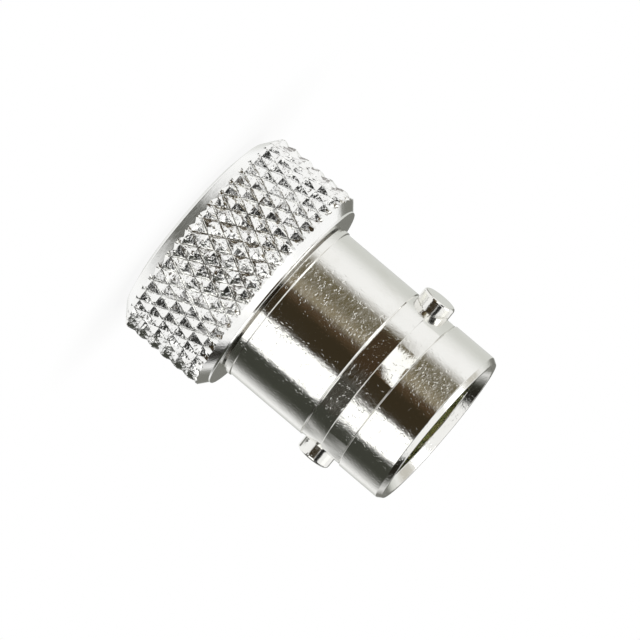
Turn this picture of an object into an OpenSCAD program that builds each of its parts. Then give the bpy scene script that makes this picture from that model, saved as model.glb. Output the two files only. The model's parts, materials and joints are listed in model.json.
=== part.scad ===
// Coaxial terminator with a bayonet jack: a knurled closed head and a turned barrel with two lugs.
// It stands on its closed end, its axis is +Z, and the lugs point along X.

/* [Overall] */
// Length from the closed end to the rim of the mouth
total_l = 17.36; // [17:0.02:19]
// Length of the knurled head
head_l = 6.42; // [5.8:0.02:6.6]

/* [Knurled head] */
// Height of the knurl's tips above the barrel
head_rise = 1.705; // [1.4:0.005:2.4]
// Depth of the knurl, tip to groove
knurl_depth = 0.36; // [0.2:0.02:0.42]
// Diamonds round the head
knurl_count = 44; // [32:2:60]
// Nominal spacing of the rows of diamonds along the axis
knurl_row = 0.85; // [0.6:0.05:1.3]
// Width of the blunt tip, as a share of its diamond
knurl_blunt = 0.13; // [0.05:0.01:0.3]
// Shallow bevel round the closed end's face, along the axis
end_bevel_l = 0.27; // [0.1:0.01:0.3]
// Shallow bevel round the closed end's face, across the radius
end_bevel_w = 1.25; // [1:0.05:2]
// Chamfer behind the knurl, along the axis
end_chamfer_l = 0.79; // [0.5:0.01:0.9]
// Chamfer behind the knurl, across the radius
end_chamfer_w = 1.04; // [0.8:0.02:1.1]
// Chamfer at the front of the head, along the axis
rim_chamfer_l = 0.53; // [0.4:0.01:0.6]
// Chamfer at the front of the head, across the radius
rim_chamfer_w = 0.64; // [0.56:0.02:0.8]
// Plain land between the front chamfer and the head's front face
rim_land_l = 0.12; // [0.05:0.01:0.2]
// Thickness of the closed end wall
end_wall = 1; // [0.9:0.05:1.2]

/* [Barrel] */
// Diameter of the barrel, which the other diameters of body and head follow
barrel_d = 9.65; // [9.5:0.01:9.8]
// Height of the neck collar above the barrel, against the head
neck_rise = 0.08; // [0.03:0.005:0.3]
// Length of the neck collar
neck_l = 0.5; // [0.4:0.01:1]
// Round at the front edge of the neck collar
neck_round = 0.07; // [0.04:0.01:0.08]
// Step from the barrel down to the tail inside the head
tail_step = 0.325; // [0.15:0.005:0.6]
// Lead chamfer on the end of the tail
tail_chamfer = 0.2; // [0.1:0.05:0.3]

/* [Band and lugs] */
// Distance of the band's rear step from the mouth
band_back = 5.49; // [5.4:0.01:5.8]
// Distance of the band's front edge from the mouth
band_front = 2.89; // [2.4:0.01:3]
// Length of the tapered relief behind the milled flats
relief_l = 1.3; // [1:0.05:1.6]
// Depth of the relief below the barrel, at the step
relief_depth = 0.265; // [0.1:0.005:0.3]
// Rise of the relief from the step to the flats
relief_rise = 0.16; // [0.02:0.01:0.2]
// Chamfer on the edge of the step
step_chamfer = 0.07; // [0.04:0.01:0.12]
// Number of milled flats round the band
flat_count = 14; // [14:2:20]
// Height of the corners between the milled flats above the barrel
corner_rise = 0.025; // [0.005:0.005:0.08]
// Diameter of a bayonet lug
lug_d = 2; // [1.8:0.02:2.1]
// Height of a lug's tip above the barrel
lug_h = 0.7; // [0.5:0.01:0.8]
// Distance of the lug axis from the mouth
lug_back = 4.39; // [4.3:0.01:4.5]
// Round on the edge of a lug's tip
lug_round = 0.12; // [0.06:0.01:0.3]
// Height of the milled pad at the foot of a lug, above the barrel
pad_h = 0.05; // [0.02:0.01:0.1]
// Width of the milled pad outside the lug
pad_w = 0.22; // [0.1:0.02:0.3]

/* [Mouth] */
// Wall between the barrel and the mouth's bore
mouth_wall = 0.76; // [0.7:0.01:0.85]
// Depth of the mouth's bore
bore_l = 8.9; // [8.6:0.05:9]
// Outer chamfer of the rim, along the axis
lip_out_l = 0.3; // [0.1:0.05:0.5]
// Outer chamfer of the rim, across the radius
lip_out_w = 0.12; // [0.05:0.01:0.2]
// Inner chamfer of the rim, along the axis
lip_in_l = 0.5; // [0.2:0.05:0.8]
// Inner chamfer of the rim, across the radius
lip_in_w = 0.3; // [0.1:0.02:0.4]

/* [Inside the body] */
// Thickness of the web between the bore and the rear cavity
web_t = 0.9; // [0.7:0.05:1.1]
// Wall of the tail round the rear cavity
tail_wall = 1.1; // [0.9:0.05:1.3]
// Radial gap of a pressed or seated piece
press_gap = 0.02; // [0.01:0.005:0.04]
// Radial gap of a piece that slides in
slide_gap = 0.04; // [0.02:0.005:0.06]

/* [Insulators] */
// Diameter of the front insulator
insulator_d = 4.72; // [4.6:0.01:4.85]
// Distance of the insulator's front face from the mouth
insulator_back = 4.25; // [4.2:0.05:4.6]
// Thickness of the insulator's flange
flange_t = 0.95; // [0.8:0.05:1.1]
// Chamfer on the insulator's front edge
insulator_chamfer = 0.12; // [0.05:0.01:0.2]
// Thickness of the rear insulator
rear_insulator_t = 0.95; // [0.85:0.05:1]
// Thickness of the retaining ring
ring_t = 0.55; // [0.45:0.05:0.6]
// Width of the retaining ring, across the radius
ring_w = 0.98; // [0.8:0.02:1.2]

/* [Centre contact] */
// Outer diameter of the socket
socket_d = 2.16; // [2.05:0.01:2.3]
// Diameter of the socket's hole
pin_hole_d = 1.35; // [1.3:0.01:1.4]
// Depth of the socket's hole
pin_hole_l = 5; // [4.6:0.05:5.2]
// Distance of the socket's end behind the insulator's face
socket_recess = 0.15; // [0.1:0.05:0.3]
// Lead chamfer of the socket's hole
socket_chamfer = 0.14; // [0.08:0.01:0.2]
// Width of a slot in the socket
slot_w = 0.2; // [0.14:0.01:0.24]
// Length of a slot in the socket
slot_l = 3.4; // [2.8:0.1:3.8]
// Diameter of the contact's flange
contact_flange_d = 3.2; // [2.9:0.05:3.6]
// Thickness of the contact's flange
contact_flange_t = 0.4; // [0.3:0.05:0.5]
// Diameter of the contact's rear cup
cup_d = 2.1; // [2:0.01:2.3]
// Depth of the contact's rear cup
cup_l = 0.5; // [0.4:0.05:0.6]

/* [Load] */
// Diameter over the resistor's end caps
load_d = 1.4; // [1.3:0.01:1.5]
// Length of the resistor over its end caps
load_l = 3.6; // [3.5:0.05:3.8]
// Wall of an end cap
load_wall = 0.1; // [0.07:0.01:0.14]
// Length of an end cap
load_cap_l = 0.75; // [0.65:0.05:0.9]
// Thickness of the ground disc
disc_t = 0.8; // [0.7:0.05:0.9]
// Depth of the pocket in the ground disc
pocket_l = 0.5; // [0.4:0.05:0.55]

/* [Hidden] */
$fn = 96;

// Diameters that follow the barrel
head_d = barrel_d + 2 * head_rise;
neck_d = barrel_d + 2 * neck_rise;
tail_d = barrel_d - 2 * tail_step;
cavity_d = tail_d - 2 * tail_wall;
bore_d = barrel_d - 2 * mouth_wall;
flat_d = barrel_d + 2 * corner_rise;
lug_span = barrel_d + 2 * lug_h;

// Radii of the head: tip, groove, and the plain core just under the grooves
tip_r = head_d / 2;
groove_r = tip_r - knurl_depth;
core_r = groove_r - 0.07;
end_edge_r = tip_r - end_chamfer_w;
end_face_r = end_edge_r - end_bevel_w;
rim_face_r = tip_r - rim_chamfer_w;

// The knurl runs between the two chamfers, in a whole number of rows
knurl_z0 = end_bevel_l + end_chamfer_l;
rim_z = head_l - rim_land_l;
knurl_z1 = rim_z - rim_chamfer_l;
rows = max(2, round((knurl_z1 - knurl_z0) / knurl_row));
row_step = (knurl_z1 - knurl_z0) / rows;
columns = 2 * knurl_count;
column_step = 360 / columns;

// Heights where a chamfer cone has a given radius
function end_cone_z(r) = end_bevel_l + end_chamfer_l * (r - end_edge_r) / end_chamfer_w;
function rim_cone_z(r) = rim_z - rim_chamfer_l * (r - rim_face_r) / rim_chamfer_w;

// Heights of the main stations, from the closed end
mouth_z = total_l;
neck_z = head_l + neck_l;
step_z = mouth_z - band_back;
flats_z = step_z + relief_l;
band_z = mouth_z - band_front;
lug_z = mouth_z - lug_back;
shoulder_z = mouth_z - bore_l;
web_z = shoulder_z - web_t;
face_z = mouth_z - insulator_back;
socket_z = face_z - socket_recess;
flange_z = web_z - flange_t;
rear_insulator_z = flange_z - rear_insulator_t;
ring_z = rear_insulator_z - ring_t;
tail_z = end_wall + disc_t;
load_z = tail_z - pocket_l;
load_top_z = load_z + load_l;
cup_z = load_top_z - cup_l;
contact_flange_z = flange_z - contact_flange_t;

// Radius of the turned core under the milled flats
flats_r = barrel_d / 2 - relief_depth + relief_rise;

// Radii inside
bore_r = bore_d / 2;
cavity_r = cavity_d / 2;
insulator_r = insulator_d / 2;
socket_r = socket_d / 2;
load_r = load_d / 2;
rod_r = load_r - load_wall - press_gap;

// A point on a cylinder of radius r
function at(r, a, z) = [r * cos(a), r * sin(a), z];

// A peak of the knurl has four tip points, and a groove crossing has one.
// Peaks are where row and column add to an even number, so each row is shifted by half a diamond.
function is_peak(c, k) = (c + k) % 2 == 0;

// Four tip points of the peak at column c, row k: left, lower, right, upper.
// At the first and last row a chamfer cuts the peak, so its outward tip point stays on that row.
function tips(c, k) =
    let (a = c * column_step, z = knurl_z0 + k * row_step,
         da = column_step * knurl_blunt, dz = row_step * knurl_blunt)
    [at(tip_r, a - da, z),
     at(tip_r, a, k == 0 ? z : z - dz),
     at(tip_r, a + da, z),
     at(tip_r, a, k == rows ? z : z + dz)];

// Every lattice place owns four points, so that a place's index is plain arithmetic.
// A groove crossing repeats its one point, and the unused copies are never named by a face.
function place(c, k) = is_peak(c, k) ? tips(c, k)
    : let (p = at(groove_r, c * column_step, knurl_z0 + k * row_step)) [p, p, p, p];

lattice = [for (k = [0:rows]) for (c = [0:columns - 1]) each place(c, k)];
lattice_n = len(lattice);

// Plain rings where the chamfer cones reach the bottom of the grooves, and inside the core
inner_r = core_r - 0.12;
ring_low_out = [for (c = [0:columns - 1]) at(groove_r, c * column_step, end_cone_z(groove_r))];
ring_top_out = [for (c = [0:columns - 1]) at(groove_r, c * column_step, rim_cone_z(groove_r))];
ring_low_in = [for (c = [0:columns - 1]) at(inner_r, c * column_step, end_cone_z(groove_r))];
ring_top_in = [for (c = [0:columns - 1]) at(inner_r, c * column_step, rim_cone_z(groove_r))];

function id(c, k, t) = (k * columns + (c + columns) % columns) * 4 + t;
function low_out(c) = lattice_n + c % columns;
function top_out(c) = lattice_n + columns + c % columns;
function low_in(c) = lattice_n + 2 * columns + c % columns;
function top_in(c) = lattice_n + 3 * columns + c % columns;

// The four sloping sides of a diamond, then its blunt tip.
// Points run anticlockwise seen from outside, and each face is written in that order.
function side(c, k, dc, dk) =
    let (side_tip = id(c, k, dc < 0 ? 0 : 2), end_tip = id(c, k, dk < 0 ? 1 : 3),
         side_low = id(c + dc, k, 0), end_low = id(c, k + dk, 0))
    dc * dk > 0
        ? [[side_tip, side_low, end_low], [side_tip, end_low, end_tip]]
        : [[side_tip, end_low, side_low], [side_tip, end_tip, end_low]];

diamond_faces = [
    for (k = [0:rows]) for (c = [0:columns - 1]) if (is_peak(c, k))
        for (dc = [-1, 1]) for (dk = [-1, 1])
            if (k + dk >= 0 && k + dk <= rows) each side(c, k, dc, dk)
];
tip_faces = [
    for (k = [0:rows]) for (c = [0:columns - 1]) if (is_peak(c, k))
        each (k == 0 ? [[id(c, k, 0), id(c, k, 1), id(c, k, 3)], [id(c, k, 1), id(c, k, 2), id(c, k, 3)]]
            : k == rows ? [[id(c, k, 0), id(c, k, 1), id(c, k, 3)], [id(c, k, 1), id(c, k, 2), id(c, k, 3)]]
            : [[id(c, k, 0), id(c, k, 1), id(c, k, 2)], [id(c, k, 0), id(c, k, 2), id(c, k, 3)]])
];

// A chamfer facet joins the cut peaks of an end row to the plain ring under them
function low_fan(c) = is_peak(c, 0)
    ? [[low_out(c), id(c, 0, 1), id(c, 0, 0)], [low_out(c), id(c, 0, 2), id(c, 0, 1)],
       [low_out(c), low_out(c + 1), id(c, 0, 2)], [low_out(c + 1), id(c + 1, 0, 0), id(c, 0, 2)]]
    : [[low_out(c), low_out(c + 1), id(c, 0, 0)], [low_out(c + 1), id(c + 1, 0, 0), id(c, 0, 0)]];
function top_fan(c) = is_peak(c, rows)
    ? [[top_out(c), id(c, rows, 0), id(c, rows, 3)], [top_out(c), id(c, rows, 3), id(c, rows, 2)],
       [top_out(c), id(c, rows, 2), top_out(c + 1)],
       [top_out(c + 1), id(c, rows, 2), id(c + 1, rows, 0)]]
    : [[top_out(c), id(c, rows, 0), top_out(c + 1)],
       [top_out(c + 1), id(c, rows, 0), id(c + 1, rows, 0)]];

end_faces = [for (c = [0:columns - 1]) each concat(low_fan(c), top_fan(c))];
ring_faces = [
    for (c = [0:columns - 1]) each [
        [low_out(c), low_in(c), low_in(c + 1)], [low_out(c), low_in(c + 1), low_out(c + 1)],
        [top_out(c), top_in(c + 1), top_in(c)], [top_out(c), top_out(c + 1), top_in(c + 1)],
        [low_in(c), top_in(c), top_in(c + 1)], [low_in(c), top_in(c + 1), low_in(c + 1)]
    ]
];

// Faces above run anticlockwise, and a polyhedron wants them clockwise from outside
function flip(f) = [f[0], f[2], f[1]];

module knurl_sleeve() {
    polyhedron(
        points = concat(lattice, ring_low_out, ring_top_out, ring_low_in, ring_top_in),
        faces = [for (f = concat(diamond_faces, tip_faces, end_faces, ring_faces)) flip(f)]
    );
}

module cap_core() {
    rotate_extrude()
        polygon([
            [0, 0],
            [end_face_r, 0],
            [end_edge_r, end_bevel_l],
            [core_r, end_cone_z(core_r)],
            [core_r, rim_cone_z(core_r)],
            [rim_face_r, rim_z],
            [rim_face_r, head_l],
            [0, head_l]
        ]);
}

module knurled_cap() {
    color("silver")
    difference() {
        union() {
            cap_core();
            knurl_sleeve();
        }
        translate([0, 0, end_wall])
            cylinder(d = tail_d + 2 * press_gap, h = head_l);
    }
}

// Outside of the barrel, from the tail to the mouth, without the milled flats and the lugs
module barrel_turning() {
    rotate_extrude()
        polygon([
            [0, tail_z],
            [tail_d / 2 - tail_chamfer, tail_z],
            [tail_d / 2, tail_z + tail_chamfer],
            [tail_d / 2, head_l],
            [neck_d / 2, head_l],
            [neck_d / 2, neck_z - neck_round],
            [neck_d / 2 - neck_round * 0.3, neck_z - neck_round * 0.3],
            [neck_d / 2 - neck_round, neck_z],
            [barrel_d / 2, neck_z],
            [barrel_d / 2, step_z - step_chamfer],
            [barrel_d / 2 - step_chamfer, step_z],
            [barrel_d / 2 - relief_depth, step_z],
            [flats_r, flats_z],
            [flats_r, band_z],
            [barrel_d / 2, band_z],
            [barrel_d / 2, mouth_z - lip_out_l],
            [barrel_d / 2 - lip_out_w, mouth_z],
            [0, mouth_z]
        ]);
}

// Milled flats, with a corner on each lug's axis
module band_flats() {
    translate([0, 0, flats_z])
        linear_extrude(height = band_z - flats_z)
            polygon([for (i = [0:flat_count - 1])
                flat_d / 2 * [cos(i * 360 / flat_count), sin(i * 360 / flat_count)]]);
}

// One lug on its milled pad, along +X
module lug() {
    translate([0, 0, lug_z])
        rotate([0, 90, 0]) {
            rotate_extrude()
                polygon(concat(
                    [[0, bore_r + 0.2], [lug_d / 2, bore_r + 0.2]],
                    [for (i = [0:6])
                        [lug_d / 2 - lug_round + lug_round * cos(i * 15),
                         lug_span / 2 - lug_round + lug_round * sin(i * 15)]],
                    [[0, lug_span / 2]]
                ));
            translate([0, 0, bore_r + 0.2])
                cylinder(d = lug_d + 2 * pad_w, h = barrel_d / 2 + pad_h - bore_r - 0.2);
        }
}

module jack_body() {
    color("lightgray")
    difference() {
        union() {
            barrel_turning();
            band_flats();
            lug();
            mirror([1, 0, 0]) lug();
        }
        // Mouth bore with its lead-in
        rotate_extrude()
            polygon([
                [0, shoulder_z],
                [bore_r, shoulder_z],
                [bore_r, mouth_z - lip_in_l],
                [bore_r + lip_in_w, mouth_z],
                [bore_r + lip_in_w, mouth_z + 1],
                [0, mouth_z + 1]
            ]);
        translate([0, 0, tail_z - 1])
            cylinder(d = insulator_d + 2 * slide_gap, h = shoulder_z - tail_z + 2);
        translate([0, 0, tail_z - 1])
            cylinder(d = cavity_d, h = web_z - tail_z + 1);
    }
}

module front_insulator() {
    color("ivory")
    difference() {
        rotate_extrude()
            polygon([
                [0, flange_z],
                [cavity_r - slide_gap, flange_z],
                [cavity_r - slide_gap, web_z],
                [insulator_r, web_z],
                [insulator_r, face_z - insulator_chamfer],
                [insulator_r - insulator_chamfer, face_z],
                [0, face_z]
            ]);
        translate([0, 0, flange_z - 1])
            cylinder(d = socket_d + 2 * slide_gap, h = face_z - flange_z + 2);
    }
}

module centre_contact() {
    color("gold")
    difference() {
        rotate_extrude()
            polygon([
                [0, cup_z],
                [cup_d / 2, cup_z],
                [cup_d / 2, contact_flange_z],
                [contact_flange_d / 2, contact_flange_z],
                [contact_flange_d / 2, flange_z],
                [socket_r, flange_z],
                [socket_r, socket_z - socket_chamfer / 2],
                [socket_r - socket_chamfer / 2, socket_z],
                [0, socket_z]
            ]);
        // Hole for the mating pin, with its lead-in
        rotate_extrude()
            polygon([
                [0, socket_z - pin_hole_l],
                [pin_hole_d / 2, socket_z - pin_hole_l],
                [pin_hole_d / 2, socket_z - socket_chamfer],
                [pin_hole_d / 2 + socket_chamfer, socket_z],
                [pin_hole_d / 2 + socket_chamfer, socket_z + 1],
                [0, socket_z + 1]
            ]);
        // Two saw cuts across the socket give four spring fingers
        for (turn = [0, 90])
            rotate([0, 0, turn])
                translate([-socket_d, -slot_w / 2, socket_z - slot_l])
                    cube([2 * socket_d, slot_w, slot_l + 1]);
        translate([0, 0, cup_z - 1])
            cylinder(r = load_r + press_gap, h = cup_l + 1);
    }
}

module rear_insulator() {
    color("ivory")
    difference() {
        translate([0, 0, rear_insulator_z])
            cylinder(r = cavity_r - slide_gap, h = rear_insulator_t);
        translate([0, 0, rear_insulator_z - 1])
            cylinder(d = cup_d + 2 * slide_gap, h = rear_insulator_t + 2);
        translate([0, 0, contact_flange_z])
            cylinder(d = contact_flange_d + 2 * slide_gap, h = contact_flange_t + 1);
    }
}

module retaining_ring() {
    color("goldenrod")
    translate([0, 0, ring_z])
        difference() {
            cylinder(r = cavity_r - press_gap, h = ring_t);
            translate([0, 0, -1])
                cylinder(r = cavity_r - press_gap - ring_w, h = ring_t + 2);
        }
}

module resistor_rod() {
    color("seagreen")
    translate([0, 0, load_z + load_wall])
        cylinder(r = rod_r, h = load_l - 2 * load_wall);
}

// A thin cup over one end of the rod, its closed end at z = 0
module load_cap() {
    difference() {
        cylinder(r = load_r, h = load_cap_l);
        translate([0, 0, load_wall])
            cylinder(r = load_r - load_wall, h = load_cap_l);
    }
}

module resistor_cap_rear() {
    color("silver")
    translate([0, 0, load_z])
        load_cap();
}

module resistor_cap_front() {
    color("silver")
    translate([0, 0, load_top_z])
        mirror([0, 0, 1])
            load_cap();
}

module ground_disc() {
    color("goldenrod")
    difference() {
        translate([0, 0, end_wall])
            cylinder(d = tail_d, h = disc_t);
        translate([0, 0, load_z])
            cylinder(r = load_r + press_gap, h = pocket_l + 1);
    }
}

knurled_cap();
jack_body();
front_insulator();
centre_contact();
rear_insulator();
retaining_ring();
resistor_rod();
resistor_cap_front();
resistor_cap_rear();
ground_disc();
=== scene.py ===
"""Coaxial terminator: a knurled closed head and a turned barrel with two bayonet lugs.

All sizes in the classes are in millimetres, measured from the closed end along the axis.
"""

import json
import logging
import math
from collections.abc import Callable
from dataclasses import dataclass, field
from enum import Enum

import bmesh
import bpy
from bpy.types import Material, Node, NodeSocket, NodeTree, Object
from mathutils import Matrix, Vector

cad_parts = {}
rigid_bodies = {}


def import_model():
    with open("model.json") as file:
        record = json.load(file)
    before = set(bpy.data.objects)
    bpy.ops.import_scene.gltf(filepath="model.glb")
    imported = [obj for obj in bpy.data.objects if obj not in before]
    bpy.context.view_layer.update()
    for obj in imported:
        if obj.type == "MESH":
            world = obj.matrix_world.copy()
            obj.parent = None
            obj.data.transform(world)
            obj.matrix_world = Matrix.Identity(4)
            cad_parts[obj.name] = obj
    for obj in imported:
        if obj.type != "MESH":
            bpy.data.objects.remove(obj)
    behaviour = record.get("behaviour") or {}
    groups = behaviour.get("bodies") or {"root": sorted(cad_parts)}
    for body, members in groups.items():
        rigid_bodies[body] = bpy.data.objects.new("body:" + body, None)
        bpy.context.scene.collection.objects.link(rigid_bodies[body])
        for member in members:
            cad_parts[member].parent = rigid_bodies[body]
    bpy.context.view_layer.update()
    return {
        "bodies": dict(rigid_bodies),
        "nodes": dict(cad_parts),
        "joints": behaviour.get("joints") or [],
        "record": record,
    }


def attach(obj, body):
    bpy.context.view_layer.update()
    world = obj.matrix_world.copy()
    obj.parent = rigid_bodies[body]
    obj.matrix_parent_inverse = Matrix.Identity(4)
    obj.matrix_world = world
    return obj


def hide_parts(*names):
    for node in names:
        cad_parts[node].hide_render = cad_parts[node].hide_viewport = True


LOG = logging.getLogger("coaxial_terminator")
MM = 0.001
PER_MM = 1000.0

# A corner is left sharp past this half angle; its round takes at most this share of a side, in these steps
NEARLY_STRAIGHT = math.radians(88)
SIDE_SHARE = 0.48
ROUND_STEPS = 4
# A longer side is split, with a close ring at each end that keeps the flat part's shading flat
SPLIT_FROM = 0.12
EDGE_RING = 0.02
# A profile point nearer to the axis than this, in millimetres, becomes one vertex on it
AXIS_REACH = 1e-6
# Diamonds whose corners are nearer than this, in metres, are joined there
MERGE_DISTANCE = 1e-6

SOCKET_TYPES = {int: "NodeSocketInt", float: "NodeSocketFloat", Material: "NodeSocketMaterial"}
OUTPUT_TYPES = {"Shader": "NodeSocketFloat", "Geometry": "NodeSocketGeometry"}
WHITE = (1.0, 1.0, 1.0, 1.0)

Point = tuple[float, float]
Colour = tuple[float, float, float]
RadiusRule = Callable[[float, float, float], float]


class Shading(Enum):
    """The angle between two faces, in degrees, past which their edge is sharp."""

    TURNED = 24.0
    FACETED = 8.0


# Mesh helpers


def unit(value: float) -> float:
    """Limits a value to the range from 0 to 1."""
    return min(1.0, max(0.0, value))


def arc_corner(before: Point, corner: Point, after: Point, radius: float) -> list[Point]:
    """Rounds one corner of a profile.

    Args:
        before: the profile point ahead of the corner.
        corner: the corner itself.
        after: the profile point behind the corner.
        radius: the radius of the round.

    Returns:
        The points that take the corner's place.
    """
    c = Vector(corner)
    to_before, to_after = Vector(before) - c, Vector(after) - c
    a, b = to_before.normalized(), to_after.normalized()
    half = a.angle(b) / 2
    if radius <= 0 or half > NEARLY_STRAIGHT:
        return [corner]
    reach = min(radius / math.tan(half), to_before.length * SIDE_SHARE, to_after.length * SIDE_SHARE)
    real = reach * math.tan(half)
    middle = c + (a + b).normalized() * real / math.sin(half)
    start = c + a * reach - middle
    turn = start.angle_signed(c + b * reach - middle)
    points = []
    for step in range(ROUND_STEPS + 1):
        angle = -turn * step / ROUND_STEPS
        ca, sa = math.cos(angle), math.sin(angle)
        points.append((middle.x + start.x * ca - start.y * sa, middle.y + start.x * sa + start.y * ca))
    return points


def rounded_profile(corners: list[tuple[float, float, float]], longest: float) -> list[Point]:
    """Turns corners with a round each into a dense closed profile.

    Args:
        corners: radius, height and round of each corner, in order round the section.
        longest: the longest segment that is left.

    Returns:
        The points of the closed profile.
    """
    loose: list[Point] = []
    for i, (r, z, rounding) in enumerate(corners):
        before, after = corners[i - 1], corners[(i + 1) % len(corners)]
        loose += arc_corner(before[:2], (r, z), after[:2], rounding)
    dense: list[Point] = []
    for i, p in enumerate(loose):
        q = loose[(i + 1) % len(loose)]
        length = math.dist(p, q)
        dense.append(p)
        if length > SPLIT_FROM:
            edge = EDGE_RING / length
            pieces = max(1, math.ceil(length / longest))
            marks = [edge] + [k / pieces for k in range(1, pieces)] + [1 - edge]
            dense += [(p[0] + (q[0] - p[0]) * t, p[1] + (q[1] - p[1]) * t) for t in marks]
    return dense


def revolve(profile: list[Point], columns: int, shape: RadiusRule | None = None) -> bmesh.types.BMesh:
    """Revolves a closed profile round the axis.

    Args:
        profile: the closed section, radius and height in millimetres.
        columns: the number of steps round the axis.
        shape: gives a new radius for a radius, height and angle, where the piece isn't round.

    Returns:
        A new closed mesh, in metres.
    """
    bm = bmesh.new()
    rings = []
    for r, z in profile:
        if r < AXIS_REACH:
            rings.append([bm.verts.new((0, 0, z * MM))] * columns)
            continue
        ring = []
        for c in range(columns):
            angle = 2 * math.pi * c / columns
            radius = shape(r, z, angle) if shape else r
            ring.append(bm.verts.new((radius * MM * math.cos(angle), radius * MM * math.sin(angle), z * MM)))
        rings.append(ring)
    for i, ring in enumerate(rings):
        after = rings[(i + 1) % len(rings)]
        for c in range(columns):
            d = (c + 1) % columns
            # Corners that meet on the axis are one vertex, so they are counted once
            loop = list(dict.fromkeys((ring[c], ring[d], after[d], after[c])))
            if len(loop) > 2:
                bm.faces.new(loop)
    bmesh.ops.recalc_face_normals(bm, faces=bm.faces)
    return bm


def finish_mesh(bm: bmesh.types.BMesh, name: str, material: Material, shading: Shading) -> Object:
    """Makes an object of a mesh and links it to the scene.

    Args:
        bm: the mesh, which is freed.
        name: the object's name.
        material: the material of all its faces.
        shading: the angle past which an edge is sharp.

    Returns:
        The new object, at the origin.
    """
    mesh = bpy.data.meshes.new(name)
    bm.to_mesh(mesh)
    bm.free()
    for polygon in mesh.polygons:
        polygon.use_smooth = True
    mesh.set_sharp_from_angle(angle=math.radians(shading.value))
    mesh.materials.append(material)
    piece = bpy.data.objects.new(name, mesh)
    bpy.context.scene.collection.objects.link(piece)
    return piece


def bake_modifiers(piece: Object, name: str) -> Object:
    """Replaces an object with live modifiers by a plain mesh.

    Args:
        piece: the object, which is removed.
        name: the name of the new object.

    Returns:
        The new object, with no modifiers.
    """
    bpy.context.view_layer.update()
    graph = bpy.context.evaluated_depsgraph_get()
    mesh = bpy.data.meshes.new_from_object(piece.evaluated_get(graph), depsgraph=graph)
    bpy.data.objects.remove(piece)
    mesh.name = name
    plain = bpy.data.objects.new(name, mesh)
    bpy.context.scene.collection.objects.link(plain)
    return plain


def boolean(piece: Object, other: Object, operation: str, name: str) -> Object:
    """Cuts or trims one closed piece with another.

    Args:
        piece: the piece that is kept.
        other: the tool, which is removed.
        operation: INTERSECT, DIFFERENCE or UNION.
        name: the name of the result.

    Returns:
        The trimmed piece, as a plain mesh.
    """
    modifier = piece.modifiers.new("trim", "BOOLEAN")
    modifier.operation = operation
    modifier.solver = "EXACT"
    modifier.object = other
    result = bake_modifiers(piece, name)
    bpy.data.objects.remove(other)
    return result


def weld(piece: Object, distance: float, material: Material, shading: Shading) -> Object:
    """Merges the double vertices that a boolean leaves.

    Args:
        piece: the trimmed piece, which is replaced.
        distance: the gap up to which vertices are merged, in metres.
        material: the material of all its faces.
        shading: the angle past which an edge is sharp.

    Returns:
        The clean piece, under the same name.
    """
    name = piece.name
    bm = bmesh.new()
    bm.from_mesh(piece.data)
    bmesh.ops.remove_doubles(bm, verts=bm.verts, dist=distance)
    bmesh.ops.recalc_face_normals(bm, faces=bm.faces)
    bpy.data.objects.remove(piece)
    return finish_mesh(bm, name, material, shading)


# Node trees


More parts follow.
